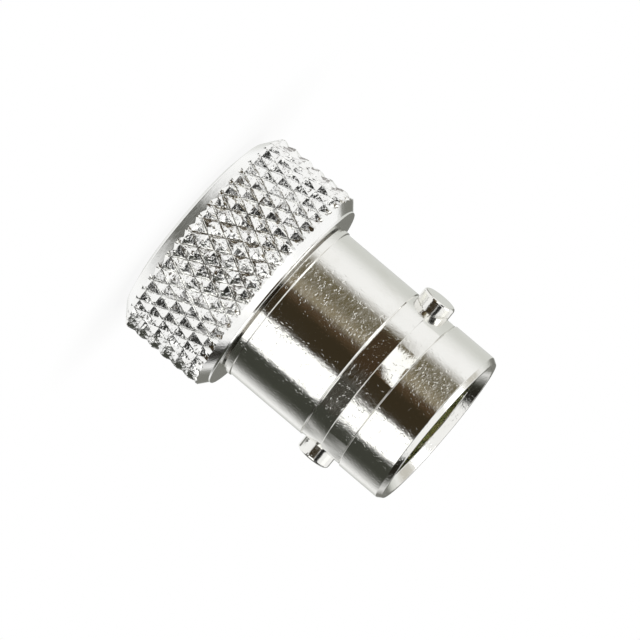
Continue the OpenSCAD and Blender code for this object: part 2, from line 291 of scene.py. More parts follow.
class NodeWriter:
    """Adds nodes to one tree and links them."""

    def __init__(self, tree: NodeTree) -> None:
        """Keeps the tree and clears what it holds."""
        self.tree = tree
        self.tree.nodes.clear()

    def add(self, kind: str, links: dict | None = None, **settings: object) -> Node:
        """Adds one node.

        Args:
            kind: the node's type.
            links: input name or index to a socket or a value.
            settings: attributes of the node itself.

        Returns:
            The new node.
        """
        node = self.tree.nodes.new(kind)
        for key, value in settings.items():
            setattr(node, key, value)
        for key, value in (links or {}).items():
            self.feed(node.inputs[key], value)
        return node

    def feed(self, socket: NodeSocket, value: object) -> None:
        """Links a socket to another, or sets its value.

        Args:
            socket: the socket that is fed.
            value: another node's output, or a plain value.
        """
        if isinstance(value, NodeSocket):
            self.tree.links.new(value, socket)
        else:
            socket.default_value = value

    def group(self, tree: NodeTree, values: dict | None = None) -> NodeSocket:
        """Adds one node group with values of its own and returns its output."""
        return self.add("ShaderNodeGroup", values, node_tree=tree).outputs[0]

    def math(self, operation: str, *values: object) -> NodeSocket:
        """Adds one Math node and returns its output."""
        return self.add("ShaderNodeMath", dict(enumerate(values)), operation=operation).outputs[0]

    def product(self, first: object, second: object) -> NodeSocket:
        """Multiplies two values and returns the result."""
        return self.math("MULTIPLY", first, second)

    def vector(self, operation: str, *values: object) -> Node:
        """Adds one Vector Math node and returns it."""
        return self.add("ShaderNodeVectorMath", dict(enumerate(values)), operation=operation)

    def combine(self, x: object = 0.0, y: object = 0.0, z: object = 0.0) -> NodeSocket:
        """Makes a vector of three values and returns it."""
        return self.add("ShaderNodeCombineXYZ", {0: x, 1: y, 2: z}).outputs[0]

    def separate(self, vector: object) -> list[NodeSocket]:
        """Splits a vector and returns its three values."""
        return list(self.add("ShaderNodeSeparateXYZ", {0: vector}).outputs)

    def object_place(self) -> NodeSocket:
        """Returns the place in the object's own coordinates."""
        return self.add("ShaderNodeTexCoord").outputs["Object"]

    def noise(self, per_mm: object, detail: float, roughness: float, place: NodeSocket | None = None,
              distortion: float = 0.0) -> NodeSocket:
        """Adds one Noise Texture node.

        Args:
            per_mm: the number of its features in a millimetre.
            detail: the number of finer layers.
            roughness: the share of each finer layer.
            place: the vector that it is read at, in metres; the object's own place if left out.
            distortion: how far its features are pulled aside.

        Returns:
            The noise, from 0 to 1.
        """
        links = {"Vector": place or self.object_place(), "Scale": self.product(per_mm, PER_MM),
                 "Detail": detail, "Roughness": roughness, "Distortion": distortion}
        return self.add("ShaderNodeTexNoise", links).outputs[0]

    def ramp(self, value: object, low: object, high: object, to_low: float = 0.0, to_high: float = 1.0,
             smooth: bool = True) -> NodeSocket:
        """Maps a value from one range to another and returns the result.

        Args:
            value: the socket or number to map.
            low: where the result is to_low.
            high: where the result is to_high.
            to_low: the result at low.
            to_high: the result at high.
            smooth: eases in and out instead of a straight line.

        Returns:
            The mapped value, which stays within the two results.
        """
        node = self.add("ShaderNodeMapRange", {0: value, 1: low, 2: high, 3: to_low, 4: to_high},
                        interpolation_type="SMOOTHSTEP" if smooth else "LINEAR")
        return node.outputs[0]

    def within(self, distance: object, half: float, soft: float) -> NodeSocket:
        """Returns 1 nearer than a half width and 0 farther, with a soft edge."""
        return self.ramp(distance, half - soft, half + soft, 1.0, 0.0)

    def blend(self, factor: object, first: object, second: object) -> NodeSocket:
        """Mixes two colours and returns the result."""
        return self.add("ShaderNodeMix", {0: factor, 6: first, 7: second}, data_type="RGBA").outputs[2]


OpenTree = tuple[NodeWriter, dict[str, NodeSocket], NodeSocket]


def open_tree(name: str, output: str, inputs: dict[str, object], kind: str = "Shader") -> OpenTree:
    """Starts a node tree with named inputs and one output.

    Args:
        name: the tree's name.
        output: the output's name.
        inputs: each input's name and usual value.
        kind: Shader for a group that gives a number, or Geometry.

    Returns:
        The tree's writer, its inputs by name, and the socket that takes the result.
    """
    tree = bpy.data.node_groups.new(name, f"{kind}NodeTree")
    for label, value in inputs.items():
        socket = tree.interface.new_socket(label, in_out="INPUT", socket_type=SOCKET_TYPES[type(value)])
        socket.default_value = value
    tree.interface.new_socket(output, in_out="OUTPUT", socket_type=OUTPUT_TYPES[kind])
    writer = NodeWriter(tree)
    source = writer.add("NodeGroupInput").outputs
    return writer, {label: source[label] for label in inputs}, writer.add("NodeGroupOutput").inputs[0]


class SurfaceEffects:
    """The node groups that the finishes share: heights in millimetres and masks from 0 to 1."""

    def __init__(self) -> None:
        """Builds each group once."""
        self.plated_skin = self.build_plated_skin()
        self.turning_rings = self.build_turning_rings()
        self.handling = self.build_handling()
        self.painted_light_mask = self.build_turned_zone()

    def build_plated_skin(self) -> NodeTree:
        """Builds the fine pebbling of plate, with pits scattered on its swells.

        Returns:
            The group, which gives a height in millimetres.
        """
        w, g, out = open_tree("plated_skin", "Height", {
            "Grain per mm": 8.0, "Grain height": 0.003, "Swell per mm": 2.2, "Swell height": 0.008,
            "Pit height": 0.0033})
        grain = w.noise(g["Grain per mm"], detail=2.0, roughness=0.55)
        swell = w.noise(g["Swell per mm"], detail=1.0, roughness=0.5)
        specks = w.noise(w.product(g["Grain per mm"], 0.8), detail=1.0, roughness=0.6)
        pits = w.product(w.ramp(specks, 0.56, 0.7), w.ramp(swell, 0.4, 0.58))
        height = w.product(grain, g["Grain height"])
        height = w.math("MULTIPLY_ADD", swell, g["Swell height"], height)
        w.feed(out, w.math("MULTIPLY_ADD", pits, w.product(g["Pit height"], -1.0), height))
        return w.tree

    def build_turning_rings(self) -> NodeTree:
        """Builds fine tool rings, which change slowly round the axis.

        Returns:
            The group, which gives a height in millimetres.
        """
        w, g, out = open_tree("turning_rings", "Height", {"Rings per mm": 14.0, "Ring height": 0.0004})
        x, y, z = w.separate(w.object_place())
        drift = 0.02
        line = w.combine(w.product(x, drift), w.product(y, drift),
                         w.math("ADD", z, self.axis_distance(w, x, y)))
        rings = w.noise(g["Rings per mm"], detail=2.0, roughness=0.7, place=line)
        w.feed(out, w.product(rings, g["Ring height"]))
        return w.tree

    def build_handling(self) -> NodeTree:
        """Builds the mask of faint smears and dust.

        Returns:
            The group, which gives a mask from 0 to 1.
        """
        w, g, out = open_tree("handling_marks", "Mask", {"Marks per mm": 0.5, "Amount": 0.5})
        marks = w.noise(g["Marks per mm"], detail=4.0, roughness=0.6, distortion=0.6)
        w.feed(out, w.product(w.ramp(marks, 0.42, 0.72), g["Amount"]))
        return w.tree

    def build_turned_zone(self) -> NodeTree:
        """Builds the mask of a band inside a radius and between two heights, all in metres, where light or
        shade is painted.

        Returns:
            The group, which gives a mask from 0 to 1.
        """
        w, g, out = open_tree("painted_light_mask", "Mask", {"Radius": 0.0, "Soft": 0.0, "Low": 0.0, "High": 0.0})
        x, y, z = w.separate(w.object_place())
        inner = w.math("SUBTRACT", g["Radius"], g["Soft"])
        inside = w.ramp(self.axis_distance(w, x, y), inner, g["Radius"], 1.0, 0.0)
        between = w.product(w.math("GREATER_THAN", z, g["Low"]), w.math("LESS_THAN", z, g["High"]))
        w.feed(out, w.product(inside, between))
        return w.tree

    @staticmethod
    def axis_distance(w: NodeWriter, x: object, y: object) -> NodeSocket:
        """Returns the distance from the axis, for both values of a place across it."""
        return w.math("SQRT", w.math("MULTIPLY_ADD", y, y, w.math("POWER", x, 2.0)))


# Finishes


@dataclass(frozen=True)
class PaintedLightZone:
    """A band of a turned piece painted with a colour that stands in for light: painted shade or a painted
    reflection.
    """

    radius: float
    low: float
    high: float
    colour: Colour
    soft: float = 0.05


@dataclass(frozen=True)
class PlatedMetal:
    """A plate over turned brass; the usual values are the barrel's bright nickel."""

    name: str
    clean: Colour = (0.88, 0.875, 0.845)
    smeared: Colour = (0.82, 0.81, 0.765)
    roughness: float = 0.1
    smear_roughness: float = 0.18
    grain_per_mm: float = 8.0
    grain_height: float = 0.003
    swell_per_mm: float = 2.2
    swell_height: float = 0.008
    pit_height: float = 0.0033
    ring_height: float = 0.0002
    painted_light_zones: tuple[PaintedLightZone, ...] = ()
    rough_band: tuple[float, float] | None = None
    band_edge: float = 0.1
    calm_share: float = 0.12

    def build(self, effects: SurfaceEffects) -> Material:
        """Builds the material.

        Args:
            effects: the shared node groups.

        Returns:
            The finished material.
        """
        material = bpy.data.materials.new(self.name)
        material.use_nodes = True
        w = NodeWriter(material.node_tree)
        marks = w.group(effects.handling)
        colour = w.blend(marks, (*self.clean, 1.0), (*self.smeared, 1.0))
        # Each band paints shade or a reflection into the base colour
        for zone in self.painted_light_zones:
            band = w.group(effects.painted_light_mask, {"Radius": zone.radius * MM, "Soft": zone.soft * MM,
                                                 "Low": zone.low * MM, "High": zone.high * MM})
            colour = w.blend(band, colour, (*zone.colour, 1.0))
        rough = w.ramp(marks, 0.0, 1.0, self.roughness, self.smear_roughness, smooth=False)
        relief = w.group(effects.plated_skin, {
            "Grain per mm": self.grain_per_mm, "Grain height": self.grain_height,
            "Swell per mm": self.swell_per_mm, "Swell height": self.swell_height,
            "Pit height": self.pit_height})
        if self.rough_band:
            along = w.separate(w.object_place())[2]
            low, high = (edge * MM for edge in self.rough_band)
            soft = self.band_edge * MM
            rising = w.ramp(along, low - soft, low + soft, self.calm_share, 1.0)
            falling = w.ramp(along, high - soft, high + soft, 1.0, self.calm_share)
            relief = w.product(relief, w.product(rising, falling))
        rings = w.group(effects.turning_rings, {"Ring height": self.ring_height})
        bump = w.add("ShaderNodeBump", {"Strength": 1.0, "Distance": MM,
                                        "Height": w.math("ADD", relief, rings)})
        shader = w.add("ShaderNodeBsdfPrincipled", {"Base Color": colour, "Metallic": 1.0, "Roughness": rough,
                                                    "Normal": bump.outputs[0]})
        w.add("ShaderNodeOutputMaterial", {0: shader.outputs[0]})
        return material


@dataclass(frozen=True)
class MachinedPolymer:
    """Plastic or lacquer with faint tool rings; the usual values are the white insulators'."""

    name: str = "white_insulator"
    light: Colour = (0.86, 0.85, 0.81)
    dark: Colour = (0.74, 0.72, 0.66)
    roughness: float = 0.42
    smear_gain: float = 0.15
    rings_per_mm: float = 9.0
    ring_height: float = 0.002
    relief: float = 0.6
    translucency: float = 0.1
    scatter_depth: float = 0.5

    def build(self, effects: SurfaceEffects) -> Material:
        """Builds the material.

        Args:
            effects: the shared node groups.

        Returns:
            The finished material.
        """
        material = bpy.data.materials.new(self.name)
        material.use_nodes = True
        w = NodeWriter(material.node_tree)
        rings = w.group(effects.turning_rings, {"Ring height": self.ring_height,
                                                "Rings per mm": self.rings_per_mm})
        marks = w.group(effects.handling)
        colour = w.blend(marks, (*self.light, 1.0), (*self.dark, 1.0))
        rough = w.ramp(marks, 0.0, 1.0, self.roughness, self.roughness + self.smear_gain, smooth=False)
        bump = w.add("ShaderNodeBump", {"Strength": self.relief, "Distance": MM, "Height": rings})
        shader = w.add("ShaderNodeBsdfPrincipled", {
            "Base Color": colour, "Roughness": rough, "Normal": bump.outputs[0],
            "Subsurface Weight": self.translucency, "Subsurface Scale": self.scatter_depth * MM})
        w.add("ShaderNodeOutputMaterial", {0: shader.outputs[0]})
        return material


def build_finishes() -> dict[str, Material]:
    """Builds every finish of the part.

    Returns:
        The materials by name.
    """
    effects = SurfaceEffects()
    # Painted shade in the deepest spots of the knurl's grooves
    grooves = PaintedLightZone(radius=6.2, low=1.08, high=5.78, colour=(0.42, 0.42, 0.4))
    # Painted shade in the gap between the head and the barrel's neck
    joint = PaintedLightZone(radius=4.72, low=6.3, high=6.62, colour=(0.34, 0.32, 0.28))
    # A painted warm reflection on the wall of the bore
    bore = PaintedLightZone(radius=4.2, low=8.4, high=16.8, colour=(0.8, 0.805, 0.6))
    finishes = (
        PlatedMetal("head_nickel", clean=(0.94, 0.94, 0.925), smeared=(0.88, 0.875, 0.85), roughness=0.12,
                    grain_per_mm=7.0, grain_height=0.014, swell_per_mm=3.2, swell_height=0.038,
                    pit_height=0.006, painted_light_zones=(grooves,), rough_band=(1.0, 5.8)),
        PlatedMetal("barrel_nickel", painted_light_zones=(joint, bore)),
        PlatedMetal("contact_gold", clean=(0.86, 0.62, 0.26), smeared=(0.74, 0.5, 0.2),
                    grain_height=0.0005, swell_height=0.001, pit_height=0.0),
        PlatedMetal("bare_brass", clean=(0.72, 0.52, 0.25), smeared=(0.55, 0.38, 0.18), roughness=0.3,
                    smear_roughness=0.42, ring_height=0.0012),
        PlatedMetal("dull_tin", clean=(0.62, 0.62, 0.6), smeared=(0.5, 0.5, 0.48), roughness=0.35,
                    smear_roughness=0.5),
        MachinedPolymer(),
        MachinedPolymer("lacquered_film", light=(0.16, 0.3, 0.2), dark=(0.1, 0.2, 0.14), roughness=0.3),
    )
    return {finish.name: finish.build(effects) for finish in finishes}


# The head


@dataclass
class KnurlSizes:
    """Sizes of the diamond knurl; blunt to root are shares of the depth of a sharp diamond."""

    tip_radius: float = 6.53
    groove_radius: float = 6.22
    around: int = 44
    rows: int = 12
    first_row: float = -1.428
    row_step: float = 0.836
    blunt: float = 0.9
    crest: float = 0.86
    foot: float = 0.2
    root: float = 0.02
    flank_share: float = 0.48
    fade_low: float = 5.7
    fade_high: float = 5.98
    unevenness: float = 0.17
    wobble_per_mm: float = 1.9
    wobble_top: float = 0.85
    seed: float = 3.0
    # Rings of the cone that one diamond is made of, and how far out each is set from the centre on
    cone_rings: tuple[float, ...] = (0.4, 0.6, 0.8, 1.0)
    ring_reach: tuple[float, ...] = (0.0, 0.15, 0.5, 0.88, 1.0)


class KnurlTree:
    """The geometry node tree that sets one diamond after another round the head."""

    def __init__(self, sizes: KnurlSizes, material: Material) -> None:
        """Builds the tree.

        Args:
            sizes: the knurl's sizes.
            material: the finish that the tree sets.
        """
        self.sizes = k = sizes
        self.values = {
            "Groove radius": k.groove_radius * MM,
            "Depth": (k.tip_radius - k.groove_radius) / k.blunt * MM,
            "Around": k.around,
            "Rows": k.rows,
            "First row": k.first_row * MM,
            "Row step": k.row_step * MM,
            "Tip": k.blunt,
            "Crest": k.crest,
            "Foot": k.foot,
            "Root": k.root,
            "Fade low": k.fade_low * MM,
            "Fade high": k.fade_high * MM,
            "Unevenness": k.unevenness * MM,
            "Seed": k.seed,
            "Finish": material,
        }
        self.writer, self.inputs, out = open_tree("diamond_knurl", "Geometry", self.values, "Geometry")
        w = self.writer
        worn = self.wear(self.repeat(self.diamond()))
        joined = w.add("GeometryNodeMergeByDistance", {"Geometry": worn, "Distance": MERGE_DISTANCE})
        finish = {"Geometry": joined.outputs[0], "Material": self.inputs["Finish"]}
        w.feed(out, w.add("GeometryNodeSetMaterial", finish).outputs[0])

    def diamond(self) -> NodeSocket:
        """Shapes one open diamond: a four-sided cone whose rings move to its tip, flanks and groove.

        Returns:
            The diamond, in front of the axis.
        """
        k, w, g = self.sizes, self.writer, self.inputs
        segments = len(k.cone_rings) - 1
        cone = w.add("GeometryNodeMeshCone", {"Vertices": 4 * segments, "Side Segments": segments,
                                              "Fill Segments": 1, "Radius Top": k.cone_rings[0],
                                              "Radius Bottom": k.cone_rings[-1], "Depth": 1.0},
                     fill_type="TRIANGLE_FAN").outputs
        hollow = w.add("GeometryNodeDeleteGeometry", {"Geometry": cone["Mesh"], "Selection": cone["Bottom"]},
                       domain="FACE")
        x, y, _ = w.separate(w.add("GeometryNodeInputPosition").outputs[0])
        ring = w.math("SQRT", w.math("MULTIPLY_ADD", x, x, w.product(y, y)))
        across = w.math("MAXIMUM", w.math("ADD", w.math("ABSOLUTE", x), w.math("ABSOLUTE", y)), 1e-4)

        def along_rings(*values: object) -> NodeSocket:
            """Gives each ring of the diamond a value of its own.

            Args:
                values: the values from the centre out to the groove.

            Returns:
                The value at each vertex, straight between the rings.
            """
            total = values[0]
            for low, high, before, after in zip((0.0, *k.cone_rings), k.cone_rings, values, values[1:]):
                total = w.math("MULTIPLY_ADD", w.ramp(ring, low, high, smooth=False),
                               w.math("SUBTRACT", after, before), total)
            return total

        reach = w.math("DIVIDE", along_rings(*k.ring_reach), across)
        flank = w.math("MULTIPLY_ADD", w.math("SUBTRACT", g["Foot"], g["Crest"]), k.flank_share, g["Crest"])
        level = along_rings(g["Tip"], g["Crest"], flank, g["Foot"], g["Root"])
        angle = w.product(w.product(y, reach), w.math("DIVIDE", math.pi, g["Around"]))
        radius = w.math("MULTIPLY_ADD", level, g["Depth"], g["Groove radius"])
        shaped = w.combine(w.product(radius, w.math("COSINE", angle)),
                           w.product(radius, w.math("SINE", angle)),
                           w.product(w.product(x, reach), g["Row step"]))
        placed = w.add("GeometryNodeSetPosition", {"Geometry": hollow.outputs[0], "Position": shaped})
        return placed.outputs[0]

    def repeat(self, diamond: NodeSocket) -> NodeSocket:
        """Sets the diamond on points up the axis, each row turned by half a diamond.

        Args:
            diamond: the shaped diamond.

        Returns:
            All the diamonds, as one mesh.
        """
        w, g = self.writer, self.inputs
        index = w.add("GeometryNodeInputIndex").outputs[0]
        row = w.math("FLOOR", w.math("DIVIDE", index, g["Around"]))
        place = w.math("MODULO", index, g["Around"])
        height = w.math("MULTIPLY_ADD", row, g["Row step"], g["First row"])
        points = w.add("GeometryNodePoints", {"Count": w.product(g["Around"], g["Rows"]),
                                              "Position": w.combine(z=height)})
        step = w.product(w.math("DIVIDE", math.pi, g["Around"]), 2.0)
        turn = w.product(w.math("MULTIPLY_ADD", w.math("MODULO", row, 2.0), 0.5, place), step)
        spin = w.add("FunctionNodeEulerToRotation", {0: w.combine(z=turn)})
        copies = w.add("GeometryNodeInstanceOnPoints", {"Points": points.outputs[0], "Instance": diamond,
                                                        "Rotation": spin.outputs[0]})
        return w.add("GeometryNodeRealizeInstances", {0: copies.outputs[0]}).outputs[0]

    def wear(self, knurl: NodeSocket) -> NodeSocket:
        """Makes the tips a little uneven, inwards only, and runs the grooves out at the chamfer.

        Args:
            knurl: the diamonds as rolled.

        Returns:
            The uneven diamonds.
        """
        k, w, g = self.sizes, self.writer, self.inputs
        where = w.add("GeometryNodeInputPosition").outputs[0]
        wobble = w.add("ShaderNodeTexNoise", {"Vector": where, "W": g["Seed"], "Detail": 2.0,
                                              "Scale": k.wobble_per_mm * PER_MM},
                       noise_dimensions="4D").outputs[0]
        across = w.vector("MULTIPLY", where, (1.0, 1.0, 0.0)).outputs[0]
        outward = w.vector("NORMALIZE", across).outputs[0]
        radius = w.vector("LENGTH", across).outputs["Value"]
        uneven = w.product(w.math("SUBTRACT", wobble, k.wobble_top), g["Unevenness"])
        runout = w.ramp(w.separate(where)[2], g["Fade low"], g["Fade high"])
        full = w.math("MULTIPLY_ADD", g["Tip"], g["Depth"], g["Groove radius"])
        amount = w.math("ADD", uneven, w.product(w.math("SUBTRACT", full, radius), runout))
        push = w.add("ShaderNodeVectorMath", {0: outward, "Scale": amount}, operation="SCALE")
        return w.add("GeometryNodeSetPosition", {"Geometry": knurl, "Offset": push.outputs[0]}).outputs[0]

    def bake(self) -> Object:
        """Runs the tree and makes its result a plain mesh.

        Returns:
            The open sleeve of diamonds.
        """
        blank = bpy.data.objects.new("knurl_blank", bpy.data.meshes.new("knurl_blank"))
        bpy.context.scene.collection.objects.link(blank)
        modifier = blank.modifiers.new("diamonds", "NODES")
        modifier.node_group = self.writer.tree
        for item in self.writer.tree.interface.items_tree:
            if item.item_type == "SOCKET" and item.in_out == "INPUT":
                modifier[item.identifier] = self.values[item.name]
        return bake_modifiers(blank, "knurl_sleeve")


@dataclass
class KnurledHead:
    """The closed head: a turned cup with a diamond knurl cut through at both chamfers."""

    length: float = 6.42
    end_face: float = 4.24
    end_edge: float = 5.49
    end_bevel: float = 0.27
    end_chamfer: float = 0.79
    rim_face: float = 5.89
    rim_land: float = 0.12
    rim_chamfer: float = 0.53
    wall: float = 1.0
    bore: float = 4.52
    columns: int = 264
    overrun: float = 0.3
    clearance: float = 0.5
    knurl: KnurlSizes = field(default_factory=KnurlSizes)

    def build_knurl(self, material: Material) -> Object:
        """Closes the diamonds past both ends of the head.

        Args:
            material: the nickel finish.

        Returns:
            The closed solid.
        """
        sleeve = KnurlTree(self.knurl, material).bake()
        bm = bmesh.new()
        bm.from_mesh(sleeve.data)
        for height, normal in ((-self.overrun, -1.0), (self.length + self.overrun, 1.0)):
            bmesh.ops.bisect_plane(bm, geom=bm.verts[:] + bm.edges[:] + bm.faces[:],
                                   plane_co=(0, 0, height * MM), plane_no=(0, 0, normal), clear_outer=True)
        bmesh.ops.holes_fill(bm, edges=[e for e in bm.edges if e.is_boundary], sides=0)
        bmesh.ops.recalc_face_normals(bm, faces=bm.faces)
        bm.to_mesh(sleeve.data)
        bm.free()
        return sleeve

    def build(self, material: Material) -> Object:
        """Builds the head.

        Args:
            material: the nickel finish.

        Returns:
            The finished head.
        """
        tip = self.knurl.tip_radius
        slope_end = self.end_chamfer / (tip - self.end_edge)
        slope_rim = self.rim_chamfer / (tip - self.rim_face)
        wide = tip + self.clearance
        rim = self.length - self.rim_land
        turned = rounded_profile([
            (0.0, 0.0, 0.0),
            (self.end_face, 0.0, 0.8),
            (self.end_edge, self.end_bevel, 0.5),
            (wide, self.end_bevel + slope_end * (wide - self.end_edge), 0.0),
            (wide, rim - slope_rim * (wide - self.rim_face), 0.0),
            (self.rim_face, rim, 0.03),
            (self.rim_face, self.length, 0.04),
            (self.bore, self.length, 0.04),
            (self.bore, self.wall, 0.05),
            (0.0, self.wall, 0.0),
        ], 0.8)
        envelope = finish_mesh(revolve(turned, self.columns), "head_turning", material, Shading.TURNED)
        head = boolean(self.build_knurl(material), envelope, "INTERSECT", "knurled_head")
        return weld(head, 2e-7, material, Shading.FACETED)


# The barrel


@dataclass
class JackBarrel:
    """The turned barrel: tail, neck, step, milled band, two lugs and the mouth."""

    head: float = 6.42
    mouth: float = 17.36
    tail: float = 1.8
    tail_radius: float = 4.5
    neck_radius: float = 4.89
    neck_end: float = 6.92
    gap: float = 0.085
    rear_radius: float = 4.82
    step: float = 11.87
    relief_radius: float = 4.56
    relief_top: float = 4.71
    front_radius: float = 4.82
    lip: float = 0.3
    lip_drop: float = 0.19
    bore: float = 4.065
    shoulder: float = 8.46
    web: float = 7.56
    web_hole: float = 2.4
    cavity: float = 3.4
    columns: int = 336

    flats: int = 14
    flats_low: float = 13.15
    flats_high: float = 14.47
    flats_corner: float = 4.85
    flat_share: float = 0.55
    corner_ease: float = 0.34
    tilts: tuple[float, ...] = (1.0, -2.0, 3.0, 0.5, -1.5, 2.5, 1.0, 1.5, 2.0, 6.0, 0.0, 0.5, 3.0, 1.5)

    lug_height: float = 12.97
    lug_radius: float = 1.0
    lug_root: float = 4.3
    lug_tip: float = 5.525
    lug_round: float = 0.16
    pad_reach: float = 38.0
    pad_ramp: float = 20.0
    pad_radius: float = 4.76

    def section(self) -> list[Point]:
        """Gives the closed section of the turning, from the tail round to the cavity.

        Returns:
            The points of the section, radius and height.
        """
        return rounded_profile([
            (self.cavity, self.tail, 0.03),
            (self.tail_radius - 0.2, self.tail, 0.0),
            (self.tail_radius, self.tail + 0.2, 0.0),
            (self.tail_radius, self.head + self.gap, 0.0),
            (self.neck_radius, self.head + self.gap, 0.01),
            (self.neck_radius, self.neck_end - 0.015, 0.03),
            (self.rear_radius, self.neck_end + 0.015, 0.03),
            (self.rear_radius, self.step - 0.05, 0.06),
            (self.rear_radius - 0.05, self.step, 0.02),
            (self.relief_radius, self.step + 0.01, 0.03),
            (self.relief_top, self.flats_low - 0.01, 0.03),
            (self.relief_top + 0.01, self.flats_low + 0.02, 0.02),
            (self.relief_top + 0.01, self.flats_high - 0.02, 0.01),
            (self.front_radius, self.flats_high + 0.02, 0.03),
            (self.front_radius, self.mouth - self.lip, 0.1),
            (self.front_radius - self.lip_drop, self.mouth, 0.05),
            (self.bore + 0.3, self.mouth, 0.04),
            (self.bore, self.mouth - 0.5, 0.08),
            (self.bore, self.shoulder, 0.08),
            (self.web_hole, self.shoulder, 0.05),
            (self.web_hole, self.web, 0.03),
            (self.cavity, self.web, 0.03),
        ], 0.22)

    def milled(self, radius: float, height: float, angle: float) -> float:
        """Gives the outer radius once the band's flats are milled.

        Args:
            radius: the turned radius there.
            height: the height there.
            angle: the angle round the axis.

        Returns:
            The radius after milling.
        """
        if radius < self.relief_radius - 0.05 or not self.step < height < self.flats_high + 0.01:
            return radius
        if height < self.flats_low:
            # Plain pads are left round the lugs, and the relief runs out on them
            from_lug = abs((math.degrees(angle) + 90) % 180 - 90)
            pad = unit((self.pad_reach - from_lug) / self.pad_ramp)
            pad = pad * pad * (3 - 2 * pad)
            return max(radius, radius + (self.pad_radius - radius) * pad)
        span = 2 * math.pi / self.flats
        number = int(angle / span) % self.flats
        off = angle - (number + 0.5) * span
        flat = self.flats_corner * math.cos(span / 2) / math.cos(off)
        middle = (self.flats_low + self.flats_high) / 2
        # Corners are soft, so the lean fades out towards them
        lean = (middle - height) * math.tan(math.radians(self.tilts[number]))
        lean *= unit((span / 2 - abs(off)) / (self.corner_ease * span))
        cut = self.flat_share * flat + (1 - self.flat_share) * self.front_radius + lean
        # Both ends of the band run up to the turning over a short way
        share = unit((height - self.flats_low + 0.04) / 0.08) * unit((self.flats_high - height) / 0.05)
        return radius + (min(cut, self.front_radius + 0.03) - radius) * share

    def lug(self, side: float) -> bmesh.types.BMesh:
        """Builds one lug as a closed solid.

        Args:
            side: 1 for the lug along +X, -1 for the other.

        Returns:
            The lug's mesh, which reaches into the barrel's wall.
        """
        pin = revolve(rounded_profile([
            (0.0, self.lug_root, 0.0),
            (self.lug_radius, self.lug_root, 0.0),
            (self.lug_radius, self.lug_tip, self.lug_round),
            (0.0, self.lug_tip, 0.0),
        ], 0.15), 72)
        turn = Matrix.Rotation(math.radians(90 * side), 4, "Y")
        lift = Matrix.Translation((0, 0, self.lug_height * MM))
        bmesh.ops.transform(pin, matrix=lift @ turn, verts=pin.verts)
        return pin

    def build(self, material: Material) -> Object:
        """Builds the barrel with its lugs.

        Args:
            material: the nickel finish.

        Returns:
            The finished barrel.
        """
        whole = revolve(self.section(), self.columns, self.milled)
        for side in (1.0, -1.0):
            pin = self.lug(side)
            spare = bpy.data.meshes.new("lug")
            pin.to_mesh(spare)
            pin.free()
            whole.from_mesh(spare)
            bpy.data.meshes.remove(spare)
        return finish_mesh(whole, "barrel_turning", material, Shading.TURNED)


# Inside the mouth


@dataclass
class Dielectric:
    """The white front insulator round the contact."""

    hole: float = 1.12
    radius: float = 2.36
    flange_radius: float = 3.36
    low: float = 6.61
    web: float = 7.56
    face: float = 13.11
    face_bevel: float = 0.12
    columns: int = 144

    def build(self, material: Material) -> Object:
        """Builds the insulator.

        Args:
            material: the plastic finish.

        Returns:
            The finished insulator.
        """
        section = rounded_profile([
            (self.hole, self.low, 0.03),
            (self.flange_radius, self.low, 0.05),
            (self.flange_radius, self.web, 0.05),
            (self.radius, self.web, 0.03),
            (self.radius, self.face - self.face_bevel, 0.03),
            (self.radius - self.face_bevel, self.face, 0.03),
            (self.hole, self.face, 0.05),
        ], 0.4)
        return finish_mesh(revolve(section, self.columns), "front_dielectric", material, Shading.TURNED)


@dataclass
class SocketContact:
    """The slotted centre contact."""

    cup: float = 4.4
    cup_depth: float = 0.5
    cup_radius: float = 1.05
    cup_bore: float = 0.72
    flange_low: float = 6.21
    flange: float = 6.61
    flange_radius: float = 1.6
    radius: float = 1.08
    hole: float = 0.675
    hole_low: float = 7.96
    hole_bevel: float = 0.14
    end: float = 12.96
    slot_width: float = 0.2
    slot_length: float = 3.4
    columns: int = 96

    def build(self, material: Material) -> Object:
        """Builds the contact and saws its slots.

        Args:
            material: the gold finish.

        Returns:
            The finished contact.
        """
        section = rounded_profile([
            (0.0, self.cup + self.cup_depth, 0.0),
            (self.cup_bore, self.cup + self.cup_depth, 0.02),
            (self.cup_bore, self.cup, 0.02),
            (self.cup_radius, self.cup, 0.04),
            (self.cup_radius, self.flange_low, 0.02),
            (self.flange_radius, self.flange_low, 0.03),
            (self.flange_radius, self.flange, 0.03),
            (self.radius, self.flange, 0.02),
            (self.radius, self.end, 0.12),
            (self.hole + self.hole_bevel, self.end, 0.02),
            (self.hole, self.end - self.hole_bevel, 0.04),
            (self.hole, self.hole_low, 0.02),
            (0.0, self.hole_low, 0.0),
        ], 0.5)
        contact = finish_mesh(revolve(section, self.columns), "socket_blank", material, Shading.TURNED)
        # The saw reaches a millimetre past the slot, out of the contact's end
        size = Matrix.Diagonal((3 * self.radius * MM, self.slot_width * MM, (self.slot_length + 1) * MM, 1))
        place = Matrix.Translation((0, 0, (self.end + 0.5 - self.slot_length / 2) * MM))
        for turn in (0.0, 90.0):
            saw = bmesh.new()
            bmesh.ops.create_cube(saw, size=1.0)
            bmesh.ops.transform(saw, matrix=Matrix.Rotation(math.radians(turn), 4, "Z") @ place @ size,
                                verts=saw.verts)
            blade = finish_mesh(saw, "saw", material, Shading.FACETED)
            contact = boolean(contact, blade, "DIFFERENCE", "socket_contact")
        return weld(contact, 1e-7, material, Shading.TURNED)


# Studio


@dataclass(frozen=True)
class Panel:
    """One bright or dark area round the part, in degrees from the camera's side."""

    name: str
    azimuth: float
    half_width: float
    elevation: float
    half_height: float
    soft_across: float
    soft_along: float
    colour: Colour


